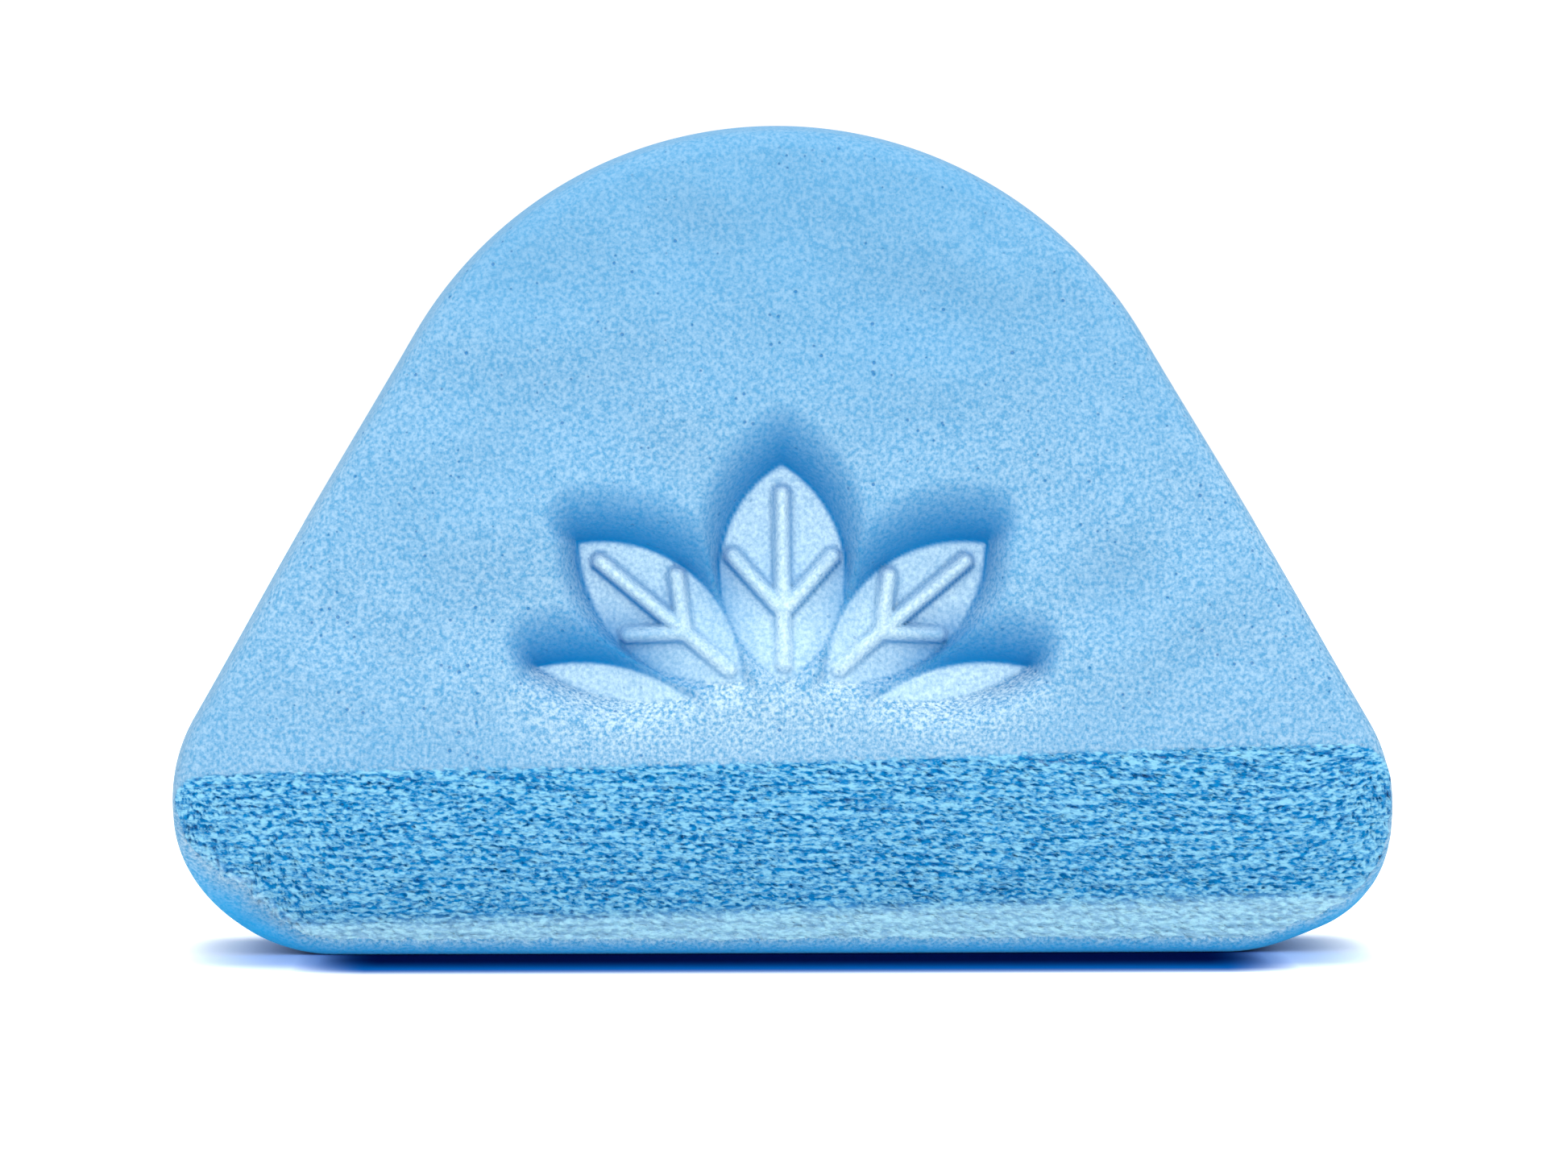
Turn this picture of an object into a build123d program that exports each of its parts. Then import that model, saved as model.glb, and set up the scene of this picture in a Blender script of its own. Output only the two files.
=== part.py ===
"""A rounded-triangle sponge block of moulded foam, standing on its straight lower side.

The block is moulded with a dense skin all round a cellular core. A five-leaf sprig is pressed
into its front skin, and a bevel cut through its lower front edge lays the core open. The frame
has +Z up, +X across the front and the front face towards -Y, with the origin on the resting
surface, below the middle of the block.
"""

import os
from math import cos, radians, sin, tan

from build123d import *

# Block, in millimetres
block_width = 60.0
block_height = 41.0
block_depth = 20.0
crown_radius = 20.8
corner_radius = 7.9
edge_radius = 1.2
skin_thickness = 0.6

# Bevel through the lower front edge: a slanted cut that ends in a short upright step
bevel_height = 10.1  # where the cut leaves the front face, at the middle of the width
bevel_angle = 42.5  # between the cut and the front face
bevel_roll = 1.5  # the cut rises towards +X
step_height = 2.3  # where the slanted cut gives way to the upright step
lip_radius = 0.7  # rounds the step into the resting side

# Pressed sprig: a fan of leaves about one root point on the front face
root_height = 12.2
press_depth = 2.0
rib_width = 0.8
rib_drop = 0.6  # how far a midrib and its veins stand below the front face
rib_length = 8.0
vein_angle = 42.0  # between a vein and its midrib
# vein: where a pair of veins leaves the midrib, from the leaf's base, and how long they are
crown_leaf = {"angle": 0.0, "start": 1.6, "length": 10.6, "width": 6.2, "vein": (3.4, 3.6)}
shoulder_leaf = {"angle": 50.0, "start": 2.6, "length": 10.4, "width": 4.9, "vein": (3.6, 2.8)}
slim_leaf = {"angle": 79.0, "start": 4.6, "length": 7.6, "width": 1.7, "vein": None}
leaves = [
    {**leaf, "angle": side * leaf["angle"]}
    for leaf in (crown_leaf, shoulder_leaf, slim_leaf)
    for side in ((1, -1) if leaf["angle"] else (1,))
]

# Derived places
front_y = -block_depth / 2
back_y = block_depth / 2
half_width = block_width / 2
corner_x = half_width - corner_radius
crown_z = block_height - crown_radius
step_y = front_y + (bevel_height - step_height) * tan(radians(bevel_angle))
cut_reach = block_depth  # how far the cut goes on beyond the block
cut_start = Plane.YZ.offset(-half_width - cut_reach)
front_part = Plane.XZ.offset(block_depth / 2 - edge_radius)  # where the front skin ends
back_part = Plane.XZ.offset(edge_radius - block_depth / 2)  # where the back skin starts


def block_outline(inset):
    """The hull of the crown arc and the two corner circles, all taken in by inset."""
    with BuildSketch() as sketch:
        with BuildLine():
            CenterArc((0, crown_z), crown_radius - inset, 0, 180)
            CenterArc((corner_x, corner_radius), corner_radius - inset, 0, 360)
            CenterArc((-corner_x, corner_radius), corner_radius - inset, 0, 360)
        make_hull()
    return sketch.sketch


def leaf_plane(leaf, depth=0.0):
    """A plane at depth behind the front face, with its Y axis along the leaf from its base."""
    turn = radians(leaf["angle"])
    along = Vector(sin(turn), 0, cos(turn))
    across = Vector(cos(turn), 0, -sin(turn))
    root = Vector(0, front_y + depth, root_height)
    return Plane(root + along * leaf["start"], x_dir=across, z_dir=(0, -1, 0))


def leaf_outline(leaf, grow):
    """A leaf pointed at both ends between two arcs, grown outwards by grow."""
    half, base, tip = leaf["width"] / 2 + grow, -grow, leaf["length"] + grow
    with BuildSketch() as sketch:
        with BuildLine():
            ThreePointArc((0, base), (half, (base + tip) / 2), (0, tip))
            ThreePointArc((0, tip), (-half, (base + tip) / 2), (0, base))
        make_face()
    return sketch.sketch


def rib_outline(leaf):
    """A midrib along the leaf, with a vein leaning away from it on each side."""
    vein_start, vein_length = leaf["vein"]
    lean = radians(vein_angle)
    with BuildSketch() as sketch:
        with Locations((0, leaf["length"] / 2)):
            SlotOverall(rib_length, rib_width, rotation=90)
        for side in (1, -1):
            middle = Vector(side * sin(lean), cos(lean)) * vein_length / 2
            with Locations(middle + Vector(0, vein_start)):
                SlotCenterToCenter(vein_length, rib_width, rotation=90 - side * vein_angle)
    return sketch.sketch


# What the bevel takes away, turned about the block's depth to follow the roll
with BuildPart() as cut:
    with BuildSketch(cut_start):
        with BuildLine():
            Polyline(
                (front_y - cut_reach, bevel_height + cut_reach / tan(radians(bevel_angle))),
                (step_y, step_height),
                (step_y, -cut_reach),
                (front_y - cut_reach, -cut_reach),
                close=True,
            )
        make_face()
    extrude(amount=block_width + 2 * cut_reach)
cut_solid = cut.part.rotate(Axis((0, 0, step_height), (0, 1, 0)), -bevel_roll)

# The whole block after the cut, with the foot of the step rounded
with BuildPart() as block:
    with BuildSketch(Plane.XZ.offset(-back_y)):
        add(block_outline(0))
    extrude(amount=block_depth)
    fillet(block.faces().filter_by(Axis.Y).edges(), radius=edge_radius)
    add(cut_solid, mode=Mode.SUBTRACT)
    step_face = block.faces().filter_by(Axis.Y).sort_by(Axis.Z)[0]
    fillet(step_face.edges().sort_by(Axis.Z)[0], radius=lip_radius)

# The space inside the skin
with BuildPart() as blank:
    with BuildSketch(Plane.XZ.offset(skin_thickness - back_y)):
        add(block_outline(skin_thickness))
    extrude(amount=block_depth - 2 * skin_thickness)
    fillet(blank.faces().filter_by(Axis.Y).edges(), radius=edge_radius - skin_thickness)

# The skin pads that the press sinks into the core, and the hollows that it leaves in them
with BuildPart() as pads:
    for leaf in leaves:
        with BuildSketch(leaf_plane(leaf)):
            add(leaf_outline(leaf, skin_thickness))
        extrude(amount=-press_depth - skin_thickness)

with BuildPart() as hollows:
    for leaf in leaves:
        with BuildSketch(leaf_plane(leaf)):
            add(leaf_outline(leaf, 0))
        extrude(amount=-press_depth)
    for leaf in [leaf for leaf in leaves if leaf["vein"]]:
        with BuildSketch(leaf_plane(leaf, rib_drop)):
            add(rib_outline(leaf))
        extrude(amount=rib_drop - press_depth, mode=Mode.SUBTRACT)

# The pieces: the core, and the skin that is parted near both faces
with BuildPart() as foam_core:
    add(block.part)
    add(blank.part, mode=Mode.INTERSECT)
    add(pads.part, mode=Mode.SUBTRACT)

with BuildPart() as skin:
    add(block.part)
    add(blank.part, mode=Mode.SUBTRACT)

with BuildPart() as front_skin:
    add(skin.part)
    split(bisect_by=front_part, keep=Keep.TOP)
    add(pads.part)
    add(hollows.part, mode=Mode.SUBTRACT)

with BuildPart() as side_skin:
    add(skin.part)
    split(bisect_by=front_part, keep=Keep.BOTTOM)
    split(bisect_by=back_part, keep=Keep.TOP)

with BuildPart() as back_skin:
    add(skin.part)
    split(bisect_by=back_part, keep=Keep.BOTTOM)

foam_core.part.label = "foam_core"
front_skin.part.label = "front_skin"
side_skin.part.label = "side_skin"
back_skin.part.label = "back_skin"

os.makedirs("parts", exist_ok=True)
export_step(foam_core.part, "parts/foam_core.step")
export_step(front_skin.part, "parts/front_skin.step")
export_step(side_skin.part, "parts/side_skin.step")
export_step(back_skin.part, "parts/back_skin.step")
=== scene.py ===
import math
import bpy
import numpy as np
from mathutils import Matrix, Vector


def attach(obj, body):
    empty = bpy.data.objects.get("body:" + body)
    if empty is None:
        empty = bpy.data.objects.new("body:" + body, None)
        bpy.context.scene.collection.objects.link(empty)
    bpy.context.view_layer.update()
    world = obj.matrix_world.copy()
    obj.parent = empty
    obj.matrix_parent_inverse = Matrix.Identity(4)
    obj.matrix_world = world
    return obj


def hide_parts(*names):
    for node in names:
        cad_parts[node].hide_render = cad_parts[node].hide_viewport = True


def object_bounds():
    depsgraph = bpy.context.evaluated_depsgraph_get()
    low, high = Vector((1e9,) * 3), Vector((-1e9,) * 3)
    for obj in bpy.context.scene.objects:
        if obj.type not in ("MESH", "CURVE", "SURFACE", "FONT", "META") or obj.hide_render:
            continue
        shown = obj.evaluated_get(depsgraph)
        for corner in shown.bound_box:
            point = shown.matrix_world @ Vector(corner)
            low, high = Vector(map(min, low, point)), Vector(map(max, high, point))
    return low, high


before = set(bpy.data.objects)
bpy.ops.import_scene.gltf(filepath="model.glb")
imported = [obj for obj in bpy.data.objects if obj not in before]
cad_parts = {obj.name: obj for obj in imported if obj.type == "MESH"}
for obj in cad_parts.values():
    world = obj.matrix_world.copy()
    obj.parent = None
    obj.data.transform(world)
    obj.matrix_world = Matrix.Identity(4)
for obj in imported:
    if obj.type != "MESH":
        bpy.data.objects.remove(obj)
cadBox = [list(corner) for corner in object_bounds()]
print("frame loaded, box", cadBox)

# Lengths are in millimetres up to the point where a mesh is made in metres.
# Shapes are worked out in front view: x to the right, z up, and depth behind the front plane.
mm = 0.001
boxLow, boxHigh = np.array(cadBox) / mm
blockWidth, blockDepth, blockHeight = boxHigh - boxLow

block = {
    "crownRadius": 20.8,
    "cornerRadius": 7.9,
    "edgeRadius": 1.2,
    "skin": 0.6,
    "swell": 0.6,  # how far the sides belly out at mid-depth
    "flankBow": 0.1,  # and the flanks at their middle, from a straight line
    "faceFall": 0.35,  # how far the face falls away towards its edge
    "fallReach": 3.5,
    "heel": 0.6,  # how far the lower corner towards +X bulges
    "heelTurn": (-0.6, 0.4),  # the way that the bulge faces and how far round it spreads, in radians
    "waves": (9.0, 0.2),  # grain and height of the slow waves in the face
    "orange": (0.6, 0.010),  # grain and height of the skin's fine relief
    "lean": -0.0075,  # how far the soft block leans to one side, per millimetre of height
    "columns": 440,
    "faceRows": 208,
}
cut = {
    "height": 10.0,  # where it leaves the face, at the middle
    "slope": 42.5,  # degrees from the face
    "rise": 0.026,  # per millimetre towards +X
    "curl": 0.00043,  # and a little more towards both ends
    "stepHeight": 2.3,
    "stepRun": 0.45,  # how far the step still falls back, per millimetre down
    "seamRows": 6,  # rows of the cut that belong to the face's skin
    "rows": 125,
    "lipRows": 12,
    "lipDepth": 0.9,
    "flake": (0.65, 0.26),  # torn cells: width and height
    "crumb": (0.36, 0.18),
    "stripe": (6.0, 0.5),  # the drag of the blade
    "shares": (0.65, 0.5, 0.42),  # how much of the flakes, crumbs and stripes there is
    "relief": 0.13,
}
sprig = {
    "rootHeight": 12.2,
    "press": 2.0,
    "basePress": 0.3,  # the share of it that is left at a leaf's base
    "reachTop": 3.0,  # how far the soft wall spreads above a leaf, beside it and below it
    "reachSide": 1.3,
    "reachFoot": 1.6,
    "ribWidth": 0.9,
    "ribRise": 1.15,
    "veinLean": 42.0,
    "crease": 0.14,  # width of the painted shade line round a leaf
    "ribFoot": 0.26,  # and of the painted shade line at a rib's foot, in half widths of a rib
    "highlightReach": 1.8,  # how far the painted highlight below a leaf spreads
    "glow": (12.0, 3.4, 1.5, 0.6),  # painted highlight about the root: half width, half height, rise, strength
    "leaves": [
        # angle, start, length, width, veins as (place along the leaf, length)
        {"angle": 0.0, "start": 1.6, "length": 10.6, "width": 6.2, "veins": [(3.4, 3.6)]},
        {"angle": 50.0, "start": 2.6, "length": 10.4, "width": 4.9, "veins": [(3.6, 2.8)]},
        {"angle": -50.0, "start": 2.6, "length": 10.4, "width": 4.9, "veins": [(3.6, 2.8)]},
        {"angle": 79.0, "start": 4.6, "length": 7.6, "width": 1.7, "veins": []},
        {"angle": -79.0, "start": 4.6, "length": 7.6, "width": 1.7, "veins": []},
    ],
}

halfWidth = blockWidth / 2
cornerX = halfWidth - block["cornerRadius"]
crownZ = blockHeight - block["crownRadius"]
centreGap = math.hypot(cornerX, crownZ - block["cornerRadius"])
centreTurn = math.atan2(crownZ - block["cornerRadius"], -cornerX)
flankTurn = centreTurn - math.acos((block["cornerRadius"] - block["crownRadius"]) / centreGap)
flankNormal = (math.cos(flankTurn), math.sin(flankTurn))
flankLength = math.sqrt(centreGap**2 - (block["cornerRadius"] - block["crownRadius"]) ** 2)
edgeInset = block["swell"] * (1 - 2 * block["edgeRadius"] / blockDepth) ** 2


def smooth(value, low, high):
    # 3t^2 - 2t^3, where t goes from 0 at low to 1 at high
    t = np.clip((value - low) / (high - low), 0, 1)
    return t * t * (3 - 2 * t)


def grainField(seed, width, height, step=0.06, span=72.0):
    # white noise kept in a band: its spectrum times k^2 * exp(-k^2), where k counts grains per wave
    rng = np.random.default_rng(seed)
    count = int(span / step)
    spectrum = np.fft.rfft2(rng.standard_normal((count, count)))
    k2 = (np.fft.rfftfreq(count, step) * width) ** 2 + (np.fft.fftfreq(count, step)[:, None] * height) ** 2
    values = np.fft.irfft2(spectrum * k2 * np.exp(-k2), s=(count, count))
    return values / values.std(), step


def pick(field, x, z):
    # the field's value at x, z: linear between its four nearest samples, wrapped at its ends
    values, step = field
    count = len(values)
    col, row = x / step % count, z / step % count
    c, r = np.floor(col).astype(int) % count, np.floor(row).astype(int) % count
    u, v = col - np.floor(col), row - np.floor(row)
    c1, r1 = (c + 1) % count, (r + 1) % count
    low, high = (values[row, c] * (1 - u) + values[row, c1] * u for row in (r, r1))
    return low * (1 - v) + high * v


waveField = grainField(11, block["waves"][0], block["waves"][0], 0.3)
orangeField = grainField(12, block["orange"][0], block["orange"][0])
flakeField = grainField(13, *cut["flake"])
crumbField = grainField(14, *cut["crumb"])
stripeField = grainField(15, *cut["stripe"])
tearField = grainField(16, 1.6, 1.6)
print("grain fields ready")


def heelBulge(turn):
    # heel * exp(-((turn - middle) / spread)^2)
    middle, spread = block["heelTurn"]
    return block["heel"] * np.exp(-(((turn - middle) / spread) ** 2))


def walkOutline(samples=700):
    # centre + radius * normal, as the normal turns from straight down to straight up: round the
    # corner circle, along the flank with a bow of flankBow * sin^2(pi t), and round the crown circle
    low = np.linspace(-math.pi / 2, flankTurn, samples)
    top = np.linspace(flankTurn, math.pi / 2, samples)
    t = np.linspace(0, 1, samples)[1:-1]
    along, bow = t * flankLength, block["flankBow"] * np.sin(math.pi * t) ** 2
    flankX = cornerX + (block["cornerRadius"] + bow) * flankNormal[0] - along * flankNormal[1]
    flankZ = block["cornerRadius"] * (1 + flankNormal[1]) + bow * flankNormal[1] + along * flankNormal[0]
    bend = block["flankBow"] * math.pi / flankLength * np.sin(2 * math.pi * t)
    corner, crown = block["cornerRadius"], block["crownRadius"]
    x = np.r_[0, cornerX + corner * np.cos(low), flankX, crown * np.cos(top)]
    z = np.r_[0, corner * (1 + np.sin(low)), flankZ, crownZ + crown * np.sin(top)]
    turn = np.r_[-math.pi / 2, low, flankTurn - bend, top]
    x, z, turn = np.r_[x, -x[-2::-1]], np.r_[z, z[-2::-1]], np.r_[turn, math.pi - turn[-2::-1]]
    heel = heelBulge(turn)
    x, z = x + heel * np.cos(turn), z + heel * np.sin(turn) * smooth(z, 0, 2)
    length = np.r_[0, np.cumsum(np.hypot(np.diff(x), np.diff(z)))]
    return {"x": x, "z": z, "turn": turn, "length": length, "total": length[-1]}


outline = walkOutline()


def outlineAt(s):
    # x, z and the outward normal's x and z at a length s along the outline
    s = s % outline["total"]
    x, z, turn = (np.interp(s, outline["length"], outline[key]) for key in ("x", "z", "turn"))
    return x, z, np.cos(turn), np.sin(turn)


def cutTop(x):
    # the cut's upper line: height + rise * x + curl * x^2
    return cut["height"] + cut["rise"] * x + cut["curl"] * x * x


def cutDepth(x, z):
    # depth of the slanted cut, tan(slope) for each millimetre below its upper line, then of the step
    stepTop = cut["stepHeight"] + cut["rise"] * x
    slant = (cutTop(x) - np.maximum(z, stepTop)) * math.tan(math.radians(cut["slope"]))
    return slant + np.maximum(stepTop - z, 0) * cut["stepRun"]


def insetShare(normalZ):
    # 0 where the side faces down, 1 where it faces up
    return smooth(normalZ, -0.9, 0.0)


def sideInset(depth, normalZ):
    # swell * ((depth - half) / half)^2 * insetShare
    half = blockDepth / 2
    return block["swell"] * ((depth - half) / half) ** 2 * insetShare(normalZ)


def insideDistance(x, z, inset):
    # distance in from the outline drawn in by inset: the least of the distances to the flank, the
    # crown arc and the corner arc, each arc only where it faces the point
    heelSide, x = x > 0, np.abs(x)
    dx, dz = x - cornerX, z - block["cornerRadius"]
    cornerTurn = np.arctan2(dz, dx)
    corner = block["cornerRadius"] - inset * insetShare(np.sin(cornerTurn))
    t = np.clip((flankNormal[0] * dz - flankNormal[1] * dx) / flankLength, 0, 1)
    bow = block["flankBow"] * np.sin(math.pi * t) ** 2
    flank = block["cornerRadius"] - inset + bow - flankNormal[0] * dx - flankNormal[1] * dz
    crownTurn = np.arctan2(z - crownZ, x)
    crown = block["crownRadius"] - inset
    crownSide = np.where(crownTurn > flankTurn, crown - np.hypot(x, z - crownZ), 99.0)
    cornerSide = corner - np.hypot(dx, dz) + heelBulge(cornerTurn) * heelSide
    facing = (cornerTurn < flankTurn) & (cornerTurn > -math.pi / 2)
    return np.minimum(np.minimum(flank, crownSide), np.where(facing, cornerSide, 99.0))


def edgeRoll(distance):
    # r - sqrt(r^2 - (r - d)^2), the quarter round that the face turns over at its edge
    r = block["edgeRadius"]
    return r - np.sqrt(np.maximum(r * r - (r - np.clip(distance, 0, r)) ** 2, 0))


def leafFrame(leaf, x, z):
    # across and along the leaf, from its base
    turn = math.radians(leaf["angle"])
    dx, dz = x, z - sprig["rootHeight"]
    across = dx * math.cos(turn) - dz * math.sin(turn)
    return across, dx * math.sin(turn) + dz * math.cos(turn) - leaf["start"], turn


def barDistance(across, along, start, end):
    # distance to the segment, in half widths of a rib
    return np.hypot(across, along - np.clip(along, start, end)) / (sprig["ribWidth"] / 2)


def leafDistance(leaf, across, along):
    # signed distance to the overlap of two circles, and its direction: to an arc's circle, or to the
    # pointed tip where that is nearer
    half, middle = leaf["width"] / 2, leaf["length"] / 2
    gap = (middle**2 - half**2) / (2 * half)
    side, way = np.abs(across), np.abs(along - middle)
    tip = (way - middle) * gap > side * middle
    outX, outZ = np.where(tip, side, side + gap), np.where(tip, way - middle, way)
    away = np.hypot(outX, outZ)
    facing = (np.sign(across) * outX / (away + 1e-9), np.sign(along - middle) * outZ / (away + 1e-9))
    return np.where(tip, away, away - gap - half), facing


def ribDistance(leaf, across, along):
    # the least distance to the midrib or to one of its pairs of leaning veins
    least = barDistance(across, along, 0.9, leaf["length"] * 0.86)
    lean = math.radians(sprig["veinLean"])
    for start, length in leaf["veins"]:
        veinAcross = np.abs(across) * math.cos(lean) - (along - start) * math.sin(lean)
        veinAlong = np.abs(across) * math.sin(lean) + (along - start) * math.cos(lean)
        least = np.minimum(least, barDistance(veinAcross, veinAlong, 0.0, length))
    return least


def pressedSprig(x, z):
    # every leaf sinks to press * (basePress + the rest, gained from base to tip); outside it the
    # depth is that times (1 - distance / reach)^2, with the reach set by the way that the wall faces
    depth, floor, wall, halo, ribTop = (np.zeros_like(x) for _ in range(5))
    for leaf in sprig["leaves"]:
        across, along, turn = leafFrame(leaf, x, z)
        signed, facing = leafDistance(leaf, across, along)
        up = facing[1] * math.cos(turn) - facing[0] * math.sin(turn)
        top, foot = np.clip(up, 0, 1) ** 1.5, np.clip(-up, 0, 1) ** 1.5
        reach = sprig["reachSide"] + (sprig["reachTop"] - sprig["reachSide"]) * top
        reach = reach + (sprig["reachFoot"] - sprig["reachSide"]) * foot
        t = np.clip(signed / reach, 0, 1)
        sunk = sprig["basePress"] + (1 - sprig["basePress"]) * smooth(along, 0, leaf["length"] * 0.6)
        inside = smooth(-signed, -0.05, 0.12)
        ribGap = ribDistance(leaf, across, along) if leaf["veins"] else np.full_like(x, 9.0)
        rib = np.clip(1 - ribGap**2, 0, 1) ** 0.7 * inside
        depth = np.maximum(depth, sunk * (sprig["press"] * (1 - t) ** 2 - sprig["ribRise"] * rib))
        floor = np.maximum(floor, inside)
        # painted shade: the walls darken, most where they face down, with a deep line round each leaf and
        # along each rib's lower foot
        slope = sunk * (1 - t) * (1 - inside) * (0.4 + 0.6 * np.sqrt(top)) * (1 - foot)
        crease = np.exp(-((signed / sprig["crease"]) ** 2)) * sunk * (1 - foot)
        ribTop = np.maximum(ribTop, rib)
        under = 0.0
        if leaf["veins"]:
            under = smooth(ribGap - ribDistance(leaf, *leafFrame(leaf, x, z + 0.1)[:2]), 0.0, 0.15)
        ribFoot = np.exp(-(((ribGap - 1) / sprig["ribFoot"]) ** 2)) * (0.4 + 0.55 * under) * inside * sunk
        wall = np.maximum(wall, np.maximum(np.maximum(slope, crease), ribFoot))
        # painted highlight: paler below each leaf, in a patch about the root and on the ribs' tops
        halo = np.maximum(halo, foot * np.exp(-np.maximum(signed, 0) / sprig["highlightReach"]) * (signed > 0))
    wide, tall, rise, strength = sprig["glow"]
    glow = strength * np.exp(-((x / wide) ** 2) - ((z - sprig["rootHeight"] - rise) / tall) ** 2)
    wall = wall**0.75
    halo = np.maximum(halo, glow) * (1 - floor) * (1 - wall)
    halo = np.maximum(halo, 0.45 * smooth(ribTop, 0.3, 0.9))
    return depth, {"floorShare": floor, "paintedShadeShare": wall, "paintedLightShare": halo}


def softMax(a, b, round):
    # (a + b + sqrt((a - b)^2 + round^2)) / 2
    return (a + b + np.sqrt((a - b) ** 2 + round * round)) / 2


def frontSurface(x, z, lip, fade):
    # the deeper of the rolled, pressed face and the rough cut; returns depth and the masks
    distance = insideDistance(x, z, edgeInset)
    press, masks = pressedSprig(x, z)
    inner = smooth(distance, 0.0, 4.0)
    face = edgeRoll(distance) + block["faceFall"] * np.exp(-np.maximum(distance, 0) / block["fallReach"])
    calm = smooth(z - cutTop(x), 0.0, 6.0)
    face = face + inner * calm * block["waves"][1] * pick(waveField, x, z)
    face = face + inner * block["orange"][1] * pick(orangeField, x, z)
    face = face + press
    slant = cutDepth(x, z)
    share = smooth(slant - face + 0.05 * pick(flakeField, x, z), -0.03, 0.12) * (1 - lip)
    fields = (flakeField, crumbField, stripeField)
    grain = sum(amount * pick(field, x, z) for amount, field in zip(cut["shares"], fields))
    step = smooth(cut["stepHeight"] + cut["rise"] * x - z, -0.4, 0.5)
    relief = cut["relief"] * (np.maximum(-grain, -0.6) + 0.5 * np.maximum(-grain - 0.4, 0) ** 1.5)
    depth = softMax(face, slant, 0.1) + relief * share * fade * (1 - 0.35 * step)
    masks = {key: values * (1 - share) for key, values in masks.items()}
    # poreShade is painted shade, by how deep each torn pit goes
    masks.update({"cutShare": share, "poreShade": smooth(-grain, -1.2, 1.5), "stepShare": step})
    return depth, masks


# the front is made of rows between four curves: upper outline, cut line, lip line and lower outline
columns = block["columns"]
along = np.linspace(0, 1, columns)
rightSide = (outline["length"] > 0) & (outline["length"] < outline["total"] / 2)
leftSide = outline["length"] > outline["total"] / 2
reachUp = outline["z"] - cutTop(outline["x"])
rightEnd = np.interp(0, reachUp[rightSide], outline["length"][rightSide])
leftEnd = np.interp(0, -reachUp[leftSide], outline["length"][leftSide])
upperS = leftEnd + (rightEnd - leftEnd) * along
lowerS = leftEnd + (outline["total"] - leftEnd + rightEnd) * along


def boundary(s, depth, extra=0.0):
    # a point of the outline, moved in along its normal by the side's inset at that depth
    x, z, nx, nz = outlineAt(s)
    inset = sideInset(depth, nz) + extra
    return x - nx * inset, z - nz * inset


endFade = smooth(along, 0, 0.05) * smooth(1 - along, 0, 0.05)
lowerX, lowerZ, lowerNx, lowerNz = outlineAt(lowerS)
lipDepth = cut["lipDepth"] * endFade
lowerStart = np.maximum(block["edgeRadius"], cutDepth(lowerX, lowerZ) + lipDepth)
upperPlan = np.array(boundary(upperS, block["edgeRadius"]))
lowerPlan = np.array(boundary(lowerS, lowerStart))
lowerPlan[:, [0, -1]] = upperPlan[:, [0, -1]]
cutX = np.interp(along, [0, 1], upperPlan[0, [0, -1]])
cutMiss = upperPlan[1, [0, -1]] - cutTop(upperPlan[0, [0, -1]])
cutLine = np.array([cutX, np.interp(along, [0, 1], cutMiss) + cutTop(cutX)])

# how wide the smooth lip is, by the degrees that the outline faces: left, lower left, foot and right
lipTurn = np.unwrap(np.arctan2(lowerNz, lowerNx)) % (2 * math.pi)
lipTurn = np.where(lipTurn < math.pi / 2, lipTurn + 2 * math.pi, lipTurn)
lipTurns, lipWidths = [165, 195, 225, 262, 280, 315, 345, 380], [0.1, 0.5, 2.0, 0.9, 0.8, 0.7, 0.3, 0.1]
lipWidth = np.interp(np.degrees(lipTurn), lipTurns, lipWidths)
lipWidth = (lipWidth + 0.05 * pick(tearField, lowerS, 0 * lowerS)) * endFade
lipLine = lowerPlan - lipWidth * np.array([lowerNx, lowerNz])


def between(first, last, shares):
    # first * (1 - share) + last * share, one row for each share
    return first[:, None, :] + (last - first)[:, None, :] * shares[None, :, None]


# face rows stand closest at the rolled edge and over the sprig: equal steps of the summed weights
share = np.linspace(0, 1, 2000)
weights = np.cumsum(1 + 3 * smooth(share, 0.3, 0.42) + 7 * np.exp(-share / 0.03))
faceShares = np.interp(np.linspace(weights[0], weights[-1], block["faceRows"] + 1), weights, share)
cutShares = np.linspace(0, 1, cut["rows"] + 1)[1:]
lipAngles = np.linspace(0, math.pi / 2, cut["lipRows"] + 1)[1:]
plan = np.concatenate(
    [
        between(upperPlan, cutLine, faceShares),
        between(cutLine, lipLine, cutShares),
        between(lipLine, lowerPlan, np.sin(lipAngles)),
    ],
    axis=1,
)
seamRow = block["faceRows"] + cut["seamRows"]
lipRow = block["faceRows"] + cut["rows"]
lipMask = np.zeros(plan.shape[1:])
lipMask[lipRow + 1 :] = 1
frontDepth, frontMasks = frontSurface(plan[0], plan[1], lipMask, endFade)
frontDepth[lipRow + 1 :] += lipDepth * (1 - np.cos(lipAngles))[:, None]
# a ragged lighter ridge where the cut tears out of the skin at the lower left corner
tornPlace = np.exp(-((np.hypot(*(plan - lipLine[:, None, :])) / 0.38) ** 2))
tornWhere = smooth(np.degrees(lipTurn), 195, 215) * (1 - smooth(np.degrees(lipTurn), 250, 268))
ragged = smooth(pick(tearField, plan[0] * 3, plan[1] * 3), -1.6, 0.6)
torn = tornPlace * (0.12 + 0.88 * tornWhere) * endFade * ragged
frontDepth -= 0.3 * torn * tornWhere
frontMasks["torn"] = torn
front = np.stack([plan[0], frontDepth, plan[1]], axis=-1)
print("front surface", front.shape)


def sideRows(s, starts, ends, count, extra=0.0, cluster=1.0):
    # rows along the depth from starts to ends, on the swelling side wall
    shares = np.linspace(0, 1, count)[:, None] ** cluster
    depth = starts + (ends - starts) * shares + 0 * s
    x, z = boundary(s, depth, extra)
    return np.stack([x, depth, z], axis=-1)


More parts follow.
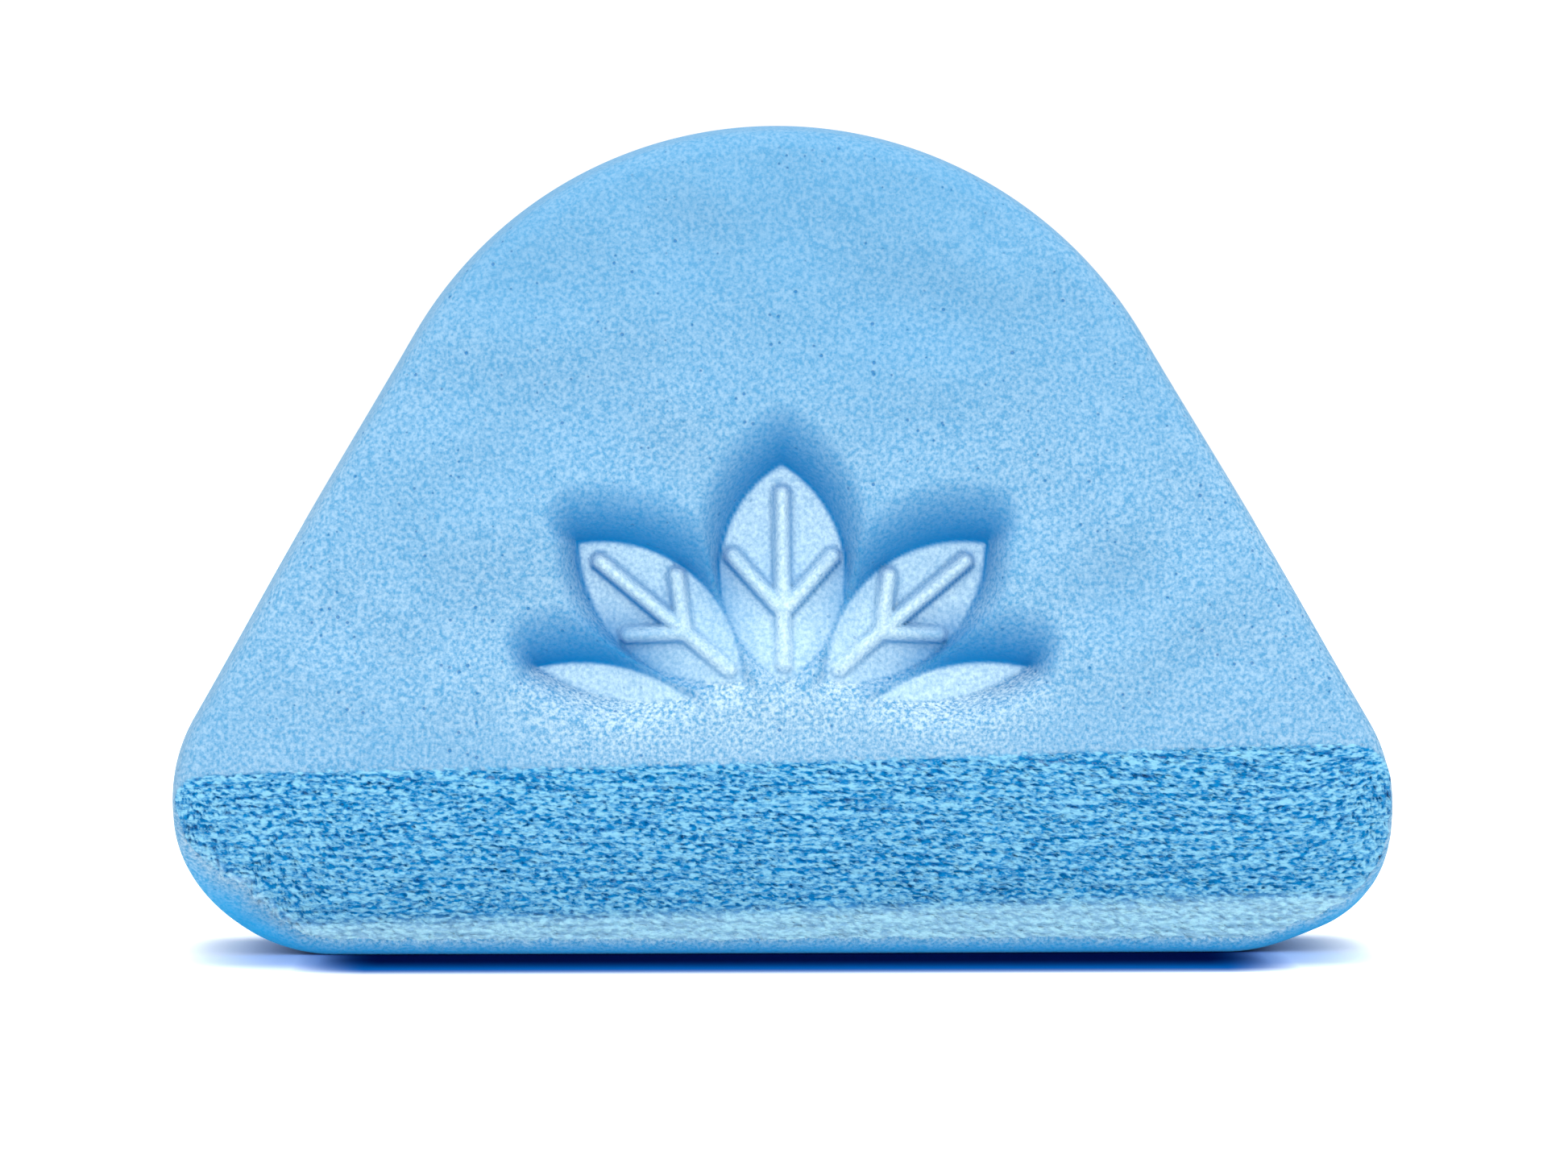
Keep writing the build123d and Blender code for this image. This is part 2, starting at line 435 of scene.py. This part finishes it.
def straightRows(first, last, count, bow=0.0):
    # rows in space between two curves, without the curves themselves: straight ones, pushed back in
    # depth by bow * (1 - (2t - 1)^6)
    shares = np.linspace(0, 1, count + 2)[1:-1, None, None]
    rows = first + (last - first) * shares
    rows[..., 1] += bow * endFade * (1 - (2 * shares[..., 0] - 1) ** 6)
    return rows


backEdge = blockDepth - block["edgeRadius"]
skin = block["skin"]
innerBack = blockDepth - skin
upperBack = sideRows(upperS, backEdge, backEdge, 1)[0]
lowerBack = sideRows(lowerS, backEdge, backEdge, 1)[0]
# every piece runs on under its neighbours by this much, so that both are shaded alike at a seam
tuck = {"inward": 0.02, "onward": 0.1}


def underFront(row):
    # a row of the front moved back by inward, and not at its ends
    return front[row] + np.array([0, tuck["inward"], 0]) * endFade[:, None]


def underSide(curve, s, onward):
    # a curve at the outline moved in along its normal by inward and on in depth, and not at its ends
    _, _, nx, nz = outlineAt(s)
    shift = np.stack([-nx * tuck["inward"], onward + 0 * s, -nz * tuck["inward"]], axis=-1)
    return curve + shift * endFade[:, None]


def makePiece(name, rings, masks, shown, roundLoop=False):
    # rings is a grid whose rows close on themselves; columns close too when roundLoop is true, and
    # otherwise end in a point; equal points are merged and faces without area dropped
    points = rings.reshape(-1, 3)
    rounded = np.round(points, 4)
    _, firsts, merged = np.unique(rounded, axis=0, return_index=True, return_inverse=True)
    index = merged.reshape(rings.shape[:2])
    if roundLoop:
        index = np.concatenate([index, index[:, :1]], axis=1)
    below = np.roll(index, -1, axis=0)
    a, b, c, d = index[:, :-1], below[:, :-1], below[:, 1:], index[:, 1:]
    rowOf = np.broadcast_to(np.arange(len(a))[:, None], a.shape)
    faces = np.concatenate([np.stack([a, b, c], -1).reshape(-1, 3), np.stack([a, c, d], -1).reshape(-1, 3)])
    rows = np.concatenate([rowOf.ravel(), rowOf.ravel()])
    whole = (faces[:, 0] != faces[:, 1]) & (faces[:, 1] != faces[:, 2]) & (faces[:, 2] != faces[:, 0])
    faces, rows = faces[whole], rows[whole]
    places = points[firsts]
    leaning = places[:, 0] + block["lean"] * places[:, 2]
    places = np.stack([leaning, places[:, 1] + boxLow[1], places[:, 2]], axis=1) * mm
    mesh = bpy.data.meshes.new(name)
    mesh.from_pydata(places, [], faces.tolist())
    mesh.polygons.foreach_set("use_smooth", shown[rows])
    for key in ("cutShare", "poreShade", "stepShare", "floorShare", "paintedShadeShare", "paintedLightShare", "torn"):
        attribute = mesh.attributes.new(key, "FLOAT", "POINT")
        values = masks.get(key, np.zeros(rings.shape[:2])).reshape(-1)[firsts]
        attribute.data.foreach_set("value", values.astype(np.float32))
    mesh.update()
    piece = bpy.data.objects.new(name, mesh)
    bpy.context.scene.collection.objects.link(piece)
    print(name, len(faces), "triangles")
    return piece


def shownRows(rings, outerCount):
    # smooth rows of faces: the outer ones and the one on either side that runs on under a neighbour
    shown = np.ones(len(rings), bool)
    shown[outerCount:-1] = False
    return shown


def padMasks(masks, after):
    # the masks of the rows that show, with zeros for the hidden rows after them
    return {key: np.pad(values, ((0, after), (0, 0))) for key, values in masks.items()}


# face skin: the front rows down to the seam, and a few hidden rows back up behind them
def makeFaceSkin():
    hiddenCount = 8
    outer = front[: seamRow + 1]
    low, high = underFront(seamRow + 1), underSide(outer[0], upperS, tuck["onward"])
    hidden = straightRows(low, high, hiddenCount, sprig["press"] + skin)
    rings = np.concatenate([outer, low[None], hidden, high[None]])
    masks = {key: values[: seamRow + 1] for key, values in frontMasks.items()}
    return makePiece("faceSkin", rings, padMasks(masks, hiddenCount + 2), shownRows(rings, len(outer)))


# core: the cut rows, then hidden rows under the foot, up the back, over the crown and down the front
def makeCore():
    outer = front[seamRow : lipRow + 1]
    lowStart = front[-1, :, 1] + skin
    topStart = front[0, :, 1] + skin
    foot = sideRows(lowerS, lowStart, innerBack, 7, skin)
    crown = sideRows(upperS, innerBack, topStart, 7, skin)
    before, after = underFront(seamRow - 1), underFront(lipRow + 1)
    hidden = np.concatenate(
        [
            after[None],
            straightRows(after, foot[0], 10),
            foot,
            straightRows(foot[-1], crown[0], 8),
            crown,
            straightRows(crown[-1], before, 10, sprig["press"] + 2 * skin),
            before[None],
        ]
    )
    rings = np.concatenate([outer, hidden])
    masks = {key: values[seamRow : lipRow + 1] for key, values in frontMasks.items()}
    return makePiece("cutCore", rings, padMasks(masks, len(hidden)), shownRows(rings, len(outer)))


sideWall = {
    "rows": 58,
    "cluster": 1.15,  # how much closer the rows stand near the front
    "draw": 12,
    "innerRows": 7,
    "pale": 0.25,  # painted light: how pale it gets where it faces down; twice that on the lip
    "lipShadeDeep": 0.92,  # how deep the painted shade on the lip gets at its foot
    "lipFall": (0.3, 1.2),  # where up the lip that painted shade starts to fade and ends
}


# side skin: the wall from back to front all the way round, the lip under the cut, and a hidden inner
# wall; near the front the wall is drawn to the face's own edge, by the miss * (row share)^draw
def makeSideSkin():
    wallRows = sideWall["rows"]
    loopS = np.concatenate([upperS[:-1], lowerS[:0:-1]])
    start = np.concatenate([front[0, :-1], front[-1, :0:-1]])
    wall = sideRows(loopS, start[:, 1], backEdge, wallRows, cluster=sideWall["cluster"])[::-1]
    wall += (start - wall[-1]) * np.linspace(0, 1, wallRows)[:, None, None] ** sideWall["draw"]
    wall[-1] = start
    lipCount = cut["lipRows"]
    lipUp = [np.concatenate([front[0, :-1], front[-1 - row, :0:-1]]) for row in range(1, lipCount + 1)]
    lipFall = 1 - smooth(np.arange(lipCount + 1) / lipCount, *sideWall["lipFall"])
    lipShade = sideWall["lipShadeDeep"] * lipFall[:, None] * smooth(-lowerNz, 0.0, 0.9)
    inner = sideRows(loopS, start[:, 1] + skin, backEdge, sideWall["innerRows"], skin)
    before = sideRows(loopS, backEdge + tuck["onward"], backEdge, 1, tuck["inward"])
    overEdge = underSide(front[0], upperS, -tuck["onward"])
    after = np.concatenate([overEdge[:-1], underFront(lipRow - 1)[:0:-1]])
    rings = np.concatenate([before, wall, lipUp, after[None], inner])
    shown = np.arange(len(rings)) <= wallRows + lipCount
    # painted shade on the lip, deepest at its foot by the floor
    under = np.zeros(rings.shape[:2])
    under[wallRows : wallRows + lipCount + 1, columns - 1 :] = lipShade[:, :0:-1]
    # painted light: paler where the side faces down
    _, _, _, facing = outlineAt(loopS)
    onLip = (np.arange(len(rings)) > wallRows)[:, None]
    pale = sideWall["pale"] * smooth(-facing, -0.3, 0.6) * (1 + onLip)
    return makePiece("sideSkin", rings, {"paintedShadeShare": under, "paintedLightShare": pale}, shown, roundLoop=True)


backFace = {
    "rows": 120,
    "hiddenRows": 8,
    "wave": 0.06,
    "waveShift": (31, 7),  # so that its waves aren't the face's
    "fall": 0.15,  # how far it falls away towards its edge
    "fallReach": 3,
}


# back skin: over the back from foot to crown, and a few hidden rows down inside it
def makeBackSkin():
    count = backFace["rows"]
    shares = (1 - np.cos(np.linspace(0, math.pi, count))) / 2
    rows = between(lowerBack[:, [0, 2]].T, upperBack[:, [0, 2]].T, shares)
    x, z = rows
    distance = np.minimum(insideDistance(x, z, edgeInset), z)
    shiftX, shiftZ = backFace["waveShift"]
    wave = backFace["wave"] * smooth(distance, 0, 4) * pick(waveField, x + shiftX, z + shiftZ)
    fall = np.exp(-np.maximum(distance, 0) / backFace["fallReach"]) * smooth(distance, 0, 1.5)
    depth = blockDepth - edgeRoll(distance) - backFace["fall"] * fall + wave
    depth[0], depth[-1] = backEdge, backEdge
    outer = np.stack([x, depth, z], axis=-1)
    low, high = underSide(lowerBack, lowerS, -tuck["onward"]), underSide(upperBack, upperS, -tuck["onward"])
    hidden = straightRows(high, low, backFace["hiddenRows"], skin)
    rings = np.concatenate([outer, high[None], hidden, low[None]])
    return makePiece("backSkin", rings, {}, shownRows(rings, count))


faceSkin = makeFaceSkin()
cutCore = makeCore()
sideSkin = makeSideSkin()
backSkin = makeBackSkin()
print("pieces made")


def tint(red, green, blue):
    # a display colour of 0 to 255 as the linear colour that shaders take: ((c + 0.055) / 1.055)^2.4
    return [((value / 255 + 0.055) / 1.055) ** 2.4 for value in (red, green, blue)] + [1.0]


def addNode(tree, kind, place, settings=None, **inputs):
    # one node with its settings and the constants of its inputs, "_" standing for a space
    node = tree.nodes.new(kind)
    node.location = place
    for key, value in (settings or {}).items():
        setattr(node, key, value)
    for key, value in inputs.items():
        node.inputs[key.replace("_", " ")].default_value = value
    return node


def newGroup(name, inputs, outputs):
    # an empty node group with its sockets, and its entry and exit nodes
    group = bpy.data.node_groups.new(name, "ShaderNodeTree")
    for label, kind, value in inputs:
        socket = group.interface.new_socket(label, in_out="INPUT", socket_type=kind)
        if value is not None:
            socket.default_value = value
    for label, kind in outputs:
        group.interface.new_socket(label, in_out="OUTPUT", socket_type=kind)
    entry = addNode(group, "NodeGroupInput", (-800, 0))
    leave = addNode(group, "NodeGroupOutput", (600, 0))
    return group, entry, leave


def maths(tree, place, operation, first, second):
    # first (operation) second, each one a number or a socket
    node = addNode(tree, "ShaderNodeMath", place, {"operation": operation})
    for socket, value in zip(node.inputs, (first, second)):
        if isinstance(value, (int, float)):
            socket.default_value = value
        else:
            tree.links.new(value, socket)
    return node.outputs[0]


def remap(tree, place, value, low, high, newLow=0.0, newHigh=1.0):
    # straight line from newLow at low to newHigh at high, held at its ends
    node = addNode(tree, "ShaderNodeMapRange", place)
    tree.links.new(value, node.inputs["Value"])
    for key, number in zip(("From Min", "From Max", "To Min", "To Max"), (low, high, newLow, newHigh)):
        node.inputs[key].default_value = number
    return node.outputs["Result"]


def blendColour(tree, place, factor, first, second):
    # first * (1 - factor) + second * factor
    node = addNode(tree, "ShaderNodeMix", place, {"data_type": "RGBA"})
    for socket, value in zip((node.inputs[0], node.inputs[6], node.inputs[7]), (factor, first, second)):
        if isinstance(value, (int, float, list)):
            socket.default_value = value
        else:
            tree.links.new(value, socket)
    return node.outputs[2]


# a noise counted in grains per metre, squeezed upright by Flatten
def buildFoamGrain():
    group, entry, leave = newGroup(
        "foamGrain",
        [
            ("Vector", "NodeSocketVector", None),
            ("Grains", "NodeSocketFloat", 5000.0),
            ("Flatten", "NodeSocketFloat", 1.0),
        ],
        [("Grain", "NodeSocketFloat"), ("Height", "NodeSocketFloat")],
    )
    upright = maths(group, (-600, -200), "MULTIPLY", entry.outputs["Grains"], entry.outputs["Flatten"])
    sizes = addNode(group, "ShaderNodeCombineXYZ", (-420, -100))
    group.links.new(entry.outputs["Grains"], sizes.inputs[0])
    group.links.new(entry.outputs["Grains"], sizes.inputs[1])
    group.links.new(upright, sizes.inputs[2])
    scaled = addNode(group, "ShaderNodeVectorMath", (-240, 0), {"operation": "MULTIPLY"})
    group.links.new(entry.outputs["Vector"], scaled.inputs[0])
    group.links.new(sizes.outputs[0], scaled.inputs[1])
    noise = addNode(group, "ShaderNodeTexNoise", (-60, 0), Scale=1.0, Detail=2.0, Roughness=0.6)
    group.links.new(scaled.outputs[0], noise.inputs["Vector"])
    grain = remap(group, (160, 60), noise.outputs["Fac"], 0.345, 0.655)
    group.links.new(grain, leave.inputs["Grain"])
    group.links.new(noise.outputs["Fac"], leave.inputs["Height"])
    return group


# round dots at the cells of a Voronoi pattern, in only some of the cells
def buildPinholes():
    group, entry, leave = newGroup(
        "pinholes",
        [
            ("Vector", "NodeSocketVector", None),
            ("Cells", "NodeSocketFloat", 2500.0),
            ("Share", "NodeSocketFloat", 0.3),
            ("Radius", "NodeSocketFloat", 0.25),
        ],
        [("Hole", "NodeSocketFloat")],
    )
    cells = addNode(group, "ShaderNodeTexVoronoi", (-500, 0))
    group.links.new(entry.outputs["Vector"], cells.inputs["Vector"])
    group.links.new(entry.outputs["Cells"], cells.inputs["Scale"])
    parts = addNode(group, "ShaderNodeSeparateColor", (-300, -160))
    group.links.new(cells.outputs["Color"], parts.inputs[0])
    chosen = maths(group, (-120, -160), "LESS_THAN", parts.outputs[0], entry.outputs["Share"])
    size = maths(group, (-120, -320), "MULTIPLY", parts.outputs[1], entry.outputs["Radius"])
    inside = maths(group, (60, 0), "SUBTRACT", size, cells.outputs["Distance"])
    edge = remap(group, (220, 0), inside, -0.04, 0.06)
    hole = maths(group, (400, 0), "MULTIPLY", edge, chosen)
    group.links.new(hole, leave.inputs["Hole"])
    return group


# a very slow change of tone over the block
def buildToneDrift():
    group, entry, leave = newGroup(
        "toneDrift",
        [("Vector", "NodeSocketVector", None), ("Patches", "NodeSocketFloat", 90.0)],
        [("Drift", "NodeSocketFloat")],
    )
    noise = addNode(group, "ShaderNodeTexNoise", (-300, 0), Detail=2.0, Roughness=0.5)
    group.links.new(entry.outputs["Vector"], noise.inputs["Vector"])
    group.links.new(entry.outputs["Patches"], noise.inputs["Scale"])
    drift = remap(group, (0, 0), noise.outputs["Fac"], 0.3, 0.7)
    group.links.new(drift, leave.inputs["Drift"])
    return group


foamGrain, pinholes, toneDrift = buildFoamGrain(), buildPinholes(), buildToneDrift()

foamLook = {
    "skinLight": tint(159, 197, 225),
    "skinDark": tint(91, 158, 203),
    "skinHole": tint(26, 116, 184),
    # paler on the pressed floors: partly their smoother skin, partly painted light in the recess
    "floor": tint(214, 241, 253),
    # painted shade on the pressed walls, creases and rib feet
    "wall": tint(0, 126, 190),
    # painted shade on the lip under the cut
    "lip": tint(16, 182, 250),
    # painted highlight below the leaves, about the root and on the ribs
    "halo": tint(232, 250, 252),
    "crest": tint(150, 218, 247),
    # painted shade in the torn pits
    "poreShade": tint(0, 137, 204),
    # painted light on the step under the cut
    "step": tint(214, 250, 255),
    "torn": tint(205, 240, 255),
    "crownShade": (0.024, 0.038, 0.0, 0.4),  # painted shade: from low to high on the block, how much darker it gets
    "grains": 5200.0,
    "bumpDepth": 0.00009,
    "flakes": {"Grains": 2400.0, "Flatten": 2.1},
    "holes": {"Cells": 2400.0, "Share": 0.22, "Radius": 0.22},
    "drift": {"Patches": 110.0},
    "floorPale": 0.92,  # how far each mask takes the colour
    "haloPale": 0.95,
    "driftDeep": 0.22,
    "holeDeep": 0.7,
    "stepPale": 0.46,
    "tornPale": 0.6,
    "poreShadeShare": 0.4,  # the pores' painted shade: this much from the mesh's pit depth, and the rest from finer random flakes
}


def placeGroup(tree, group, place, vector, **values):
    # a shared group read at vector, with its own values
    node = addNode(tree, "ShaderNodeGroup", place, {"node_tree": group})
    tree.links.new(vector, node.inputs["Vector"])
    for key, value in values.items():
        node.inputs[key].default_value = value
    return node


def readMask(tree, name, place):
    # the mesh's own mask of that name, from 0 to 1
    return addNode(tree, "ShaderNodeAttribute", place, {"attribute_name": name}).outputs["Fac"]


def skinColour(tree, vector, grain, holes, drift, quiet, deep):
    # mottled skin with pinholes; paler on the pressed floors, partly for their smoother skin and partly as
    # painted light; painted highlight below them, painted shade on their walls, and painted shade towards
    # the top
    floorMask = readMask(tree, "floorShare", (-900, 500))
    paleFloor = maths(tree, (-600, 300), "MULTIPLY", floorMask, foamLook["floorPale"])
    paintedLightMask = readMask(tree, "paintedLightShare", (-900, 650))
    paintedLightAmount = maths(tree, (-600, 500), "MULTIPLY", paintedLightMask, foamLook["haloPale"])
    pale = blendColour(tree, (-300, 500), paleFloor, foamLook["skinLight"], foamLook["floor"])
    pale = blendColour(tree, (-100, 500), paintedLightAmount, pale, foamLook["halo"])
    mottle = maths(tree, (-300, 300), "MULTIPLY", grain.outputs["Grain"], quiet)
    tone = blendColour(tree, (100, 300), mottle, pale, foamLook["skinDark"])
    height = addNode(tree, "ShaderNodeSeparateXYZ", (-600, -100))
    tree.links.new(vector, height.inputs[0])
    # painted shade: darker towards the top of the block
    crown = remap(tree, (-300, -100), height.outputs["Z"], *foamLook["crownShade"])
    dim = maths(tree, (100, 100), "MULTIPLY_ADD", drift.outputs["Drift"], foamLook["driftDeep"])
    tree.links.new(crown, dim.node.inputs[2])
    tone = blendColour(tree, (300, 300), dim, tone, foamLook["skinDark"])
    hole = maths(tree, (100, 0), "MULTIPLY", holes.outputs["Hole"], quiet)
    hole = maths(tree, (300, 100), "MULTIPLY", hole, foamLook["holeDeep"])
    tone = blendColour(tree, (500, 300), hole, tone, foamLook["skinHole"])
    return blendColour(tree, (700, 300), readMask(tree, "paintedShadeShare", (-900, 350)), tone, deep)


def cutColour(tree, flakes):
    # torn cells, pale on their crests and darker in their pores, by painted shade from the pit depth mixed
    # with random flakes; calmer on the step, and paler there as painted light
    poreShadeShare = foamLook["poreShadeShare"]
    poreShade = maths(tree, (-600, -400), "MULTIPLY", readMask(tree, "poreShade", (-900, -400)), poreShadeShare)
    fine = maths(tree, (-600, -550), "MULTIPLY", flakes.outputs["Grain"], 1 - poreShadeShare)
    deep = remap(tree, (-200, -400), maths(tree, (-400, -400), "ADD", poreShade, fine), 0.23, 0.7)
    tone = blendColour(tree, (0, -400), deep, foamLook["crest"], foamLook["poreShade"])
    # painted light: paler on the step
    stepMask = readMask(tree, "stepShare", (-900, -600))
    paleStep = maths(tree, (0, -600), "MULTIPLY", stepMask, foamLook["stepPale"])
    return blendColour(tree, (300, -400), paleStep, tone, foamLook["step"])


# foam: the skin's look and the cut's look, mixed by the mesh's own masks; deep is the colour of the
# painted shade on its walls or lip
def foamMaterial(name, deep):
    material = bpy.data.materials.new(name)
    material.use_nodes = True
    tree = material.node_tree
    tree.nodes.clear()
    output = addNode(tree, "ShaderNodeOutputMaterial", (1700, 0))
    shader = addNode(tree, "ShaderNodeBsdfPrincipled", (1400, 0))
    shader.inputs["Specular IOR Level"].default_value = 0.06
    shader.inputs["Sheen Weight"].default_value = 0.08
    shader.inputs["Sheen Roughness"].default_value = 0.45
    tree.links.new(shader.outputs[0], output.inputs[0])
    vector = addNode(tree, "ShaderNodeTexCoord", (-1500, 0)).outputs["Object"]
    grain = placeGroup(tree, foamGrain, (-1200, 300), vector, Grains=foamLook["grains"], Flatten=1.0)
    flakes = placeGroup(tree, foamGrain, (-1200, 0), vector, **foamLook["flakes"])
    holes = placeGroup(tree, pinholes, (-1200, -250), vector, **foamLook["holes"])
    drift = placeGroup(tree, toneDrift, (-1200, -500), vector, **foamLook["drift"])
    cutMask = readMask(tree, "cutShare", (600, -100))
    quiet = remap(tree, (-900, -100), readMask(tree, "floorShare", (-1200, -700)), 0, 1, 1.0, 0.5)
    skinTone = skinColour(tree, vector, grain, holes, drift, quiet, deep)
    colour = blendColour(tree, (900, 200), cutMask, skinTone, cutColour(tree, flakes))
    tornMask = maths(tree, (900, 0), "MULTIPLY", readMask(tree, "torn", (600, -300)), foamLook["tornPale"])
    colour = blendColour(tree, (1100, 200), tornMask, colour, foamLook["torn"])
    tree.links.new(colour, shader.inputs["Base Color"])
    rough = remap(tree, (1100, -100), grain.outputs["Grain"], 0, 1, 0.86, 0.97)
    tree.links.new(rough, shader.inputs["Roughness"])
    skinHeight = maths(tree, (300, -800), "SUBTRACT", grain.outputs["Height"], holes.outputs["Hole"])
    skinPart = maths(tree, (500, -800), "MULTIPLY", skinHeight, quiet)
    cutPart = maths(tree, (500, -1000), "MULTIPLY", flakes.outputs["Height"], 3.0)
    height = addNode(tree, "ShaderNodeMix", (800, -800), {"data_type": "FLOAT"})
    tree.links.new(cutMask, height.inputs[0])
    tree.links.new(skinPart, height.inputs[2])
    tree.links.new(cutPart, height.inputs[3])
    bump = addNode(tree, "ShaderNodeBump", (1100, -450), Strength=0.6, Distance=foamLook["bumpDepth"])
    tree.links.new(height.outputs[0], bump.inputs["Height"])
    tree.links.new(bump.outputs[0], shader.inputs["Normal"])
    return material


skinFoam = foamMaterial("skinFoam", foamLook["wall"])
sideFoam = foamMaterial("sideFoam", foamLook["lip"])
coreFoam = foamMaterial("coreFoam", foamLook["wall"])
print("materials made")

for piece, node, slot, material in (
    (faceSkin, "front_skin", "foam_skin", skinFoam),
    (cutCore, "foam_core", "cut_foam", coreFoam),
    (sideSkin, "side_skin", "foam_skin", sideFoam),
    (backSkin, "back_skin", "foam_skin", sideFoam),
):
    piece.data.materials.append(material)
    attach(piece, "root")
    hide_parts(node)

studio = {
    "floorSize": 3.0,
    "backdrop": 1.05,  # as the camera sees it
    "floorShown": 1.5,  # overexposed, as white paper is in such light
    "floorShadowHaze": tint(176, 200, 250),  # painted soft shadow round the block's ends
    "floorShadowBlue": tint(4, 90, 165),  # painted shadow in front of its foot
    "floorShade": tint(0, 18, 68),  # and close to it
    "floorBounce": 0.85,
    "skyHorizon": 0.9,
    "skyTop": 0.95,
    "topLight": {"place": (0.0, -0.1, 0.5), "size": 0.3, "watts": 0.7},
    "frontLight": {"place": (0.0, -0.7, 0.3), "size": 0.9, "watts": 2.5},
    "lens": 149.5,
    "cameraDistance": 0.324,
    "cameraHeight": 0.026,
    "cameraTurn": -1.5,
    "aim": (0.00015, 0.0, 0.01845),
}


def floorColour(tree):
    # overexposed for the camera, but for layers of painted shadow: each one has a colour, and the distances
    # across and in depth from its middle at which it starts and is full; clear is (1 - share)^2
    place = addNode(tree, "ShaderNodeSeparateXYZ", (-1300, 0))
    tree.links.new(addNode(tree, "ShaderNodeTexCoord", (-1500, 0)).outputs["Object"], place.inputs[0])
    half, foot, deep = halfWidth * mm, cornerX * mm, -boxLow[1] * mm
    seen = [studio["floorShown"]] * 3 + [1.0]
    for key, middle, ends, fronts in (
        ("floorShadowHaze", (0.0, 0.0), (half, foot), (deep + 0.003, deep - 0.003)),
        ("floorShadowBlue", (0.0005, -0.002), (foot + 0.0023, foot - 0.0013), (deep + 0.0019, deep - 0.0020)),
        ("floorShade", (0.0005, -0.002), (foot + 0.0012, foot - 0.0018), (deep - 0.0022, deep - 0.0072)),
    ):
        shares = []
        for axis, centre, reach in zip("XY", middle, (ends, fronts)):
            offset = maths(tree, (-1100, 0), "SUBTRACT", place.outputs[axis], centre)
            shares.append(remap(tree, (-900, 0), maths(tree, (-1000, 0), "ABSOLUTE", offset, 0.0), *reach))
        share = maths(tree, (-700, 0), "MULTIPLY", *shares)
        clear = maths(tree, (-600, 100), "POWER", maths(tree, (-700, 200), "SUBTRACT", 1.0, share), 2.0)
        seen = blendColour(tree, (-500, 0), clear, studio[key], seen)
    return seen


def makeFloor():
    # a level square at z = 0, in one colour for the camera, with painted shadows about the block, and
    # another for bounced light
    half = studio["floorSize"] / 2
    mesh = bpy.data.meshes.new("floor")
    corners = [(-half, -half, 0), (half, -half, 0), (half, half, 0), (-half, half, 0)]
    mesh.from_pydata(corners, [], [(0, 1, 2, 3)])
    floor = bpy.data.objects.new("floor", mesh)
    bpy.context.scene.collection.objects.link(floor)
    material = bpy.data.materials.new("paleFloor")
    material.use_nodes = True
    tree = material.node_tree
    tree.nodes.clear()
    output = addNode(tree, "ShaderNodeOutputMaterial", (300, 0))
    shader = addNode(tree, "ShaderNodeBsdfDiffuse", (0, 0))
    path = addNode(tree, "ShaderNodeLightPath", (-600, 300))
    bounce = [studio["floorBounce"]] * 3 + [1.0]
    pale = blendColour(tree, (-300, 0), path.outputs["Is Camera Ray"], bounce, floorColour(tree))
    tree.links.new(pale, shader.inputs["Color"])
    tree.links.new(shader.outputs[0], output.inputs[0])
    mesh.materials.append(material)


def makeLight(name):
    # a round lamp at its place, turned towards a point just above the floor
    settings = studio[name]
    light = bpy.data.lights.new(name, "AREA")
    light.shape = "DISK"
    light.size = settings["size"]
    light.energy = settings["watts"]
    lamp = bpy.data.objects.new(name, light)
    lamp.location = settings["place"]
    lamp.rotation_euler = (Vector((0, 0, 0.02)) - lamp.location).to_track_quat("-Z", "Y").to_euler()
    bpy.context.scene.collection.objects.link(lamp)


# the sky lights the block more from above than from the horizon, and the camera sees it evenly white
def makeSky():
    world = bpy.data.worlds.new("studio")
    world.use_nodes = True
    sky = world.node_tree
    background = sky.nodes["Background"]
    background.inputs["Color"].default_value = (1, 1, 1, 1)
    direction = addNode(sky, "ShaderNodeTexCoord", (-1000, 0)).outputs["Generated"]
    upward = addNode(sky, "ShaderNodeSeparateXYZ", (-800, 0))
    sky.links.new(direction, upward.inputs[0])
    glow = remap(sky, (-600, 0), upward.outputs["Z"], 0, 1, studio["skyHorizon"], studio["skyTop"])
    path = addNode(sky, "ShaderNodeLightPath", (-600, 300))
    strength = addNode(sky, "ShaderNodeMix", (-300, 0), {"data_type": "FLOAT"})
    sky.links.new(path.outputs["Is Camera Ray"], strength.inputs[0])
    sky.links.new(glow, strength.inputs[2])
    strength.inputs[3].default_value = studio["backdrop"]
    sky.links.new(strength.outputs[0], background.inputs["Strength"])
    bpy.context.scene.world = world


def makeCamera():
    # on a circle of cameraDistance about the block, turned by cameraTurn and looking at aim
    turn, distance = math.radians(studio["cameraTurn"]), studio["cameraDistance"]
    data = bpy.data.cameras.new("camera")
    data.lens = studio["lens"]
    camera = bpy.data.objects.new("camera", data)
    camera.location = (distance * math.sin(turn), -distance * math.cos(turn), studio["cameraHeight"])
    camera.rotation_euler = (Vector(studio["aim"]) - camera.location).to_track_quat("-Z", "Y").to_euler()
    bpy.context.scene.collection.objects.link(camera)
    bpy.context.scene.camera = camera


makeFloor()
makeLight("topLight")
makeLight("frontLight")
makeSky()
makeCamera()
bpy.context.scene.view_settings.view_transform = "Standard"
print("stage ready")
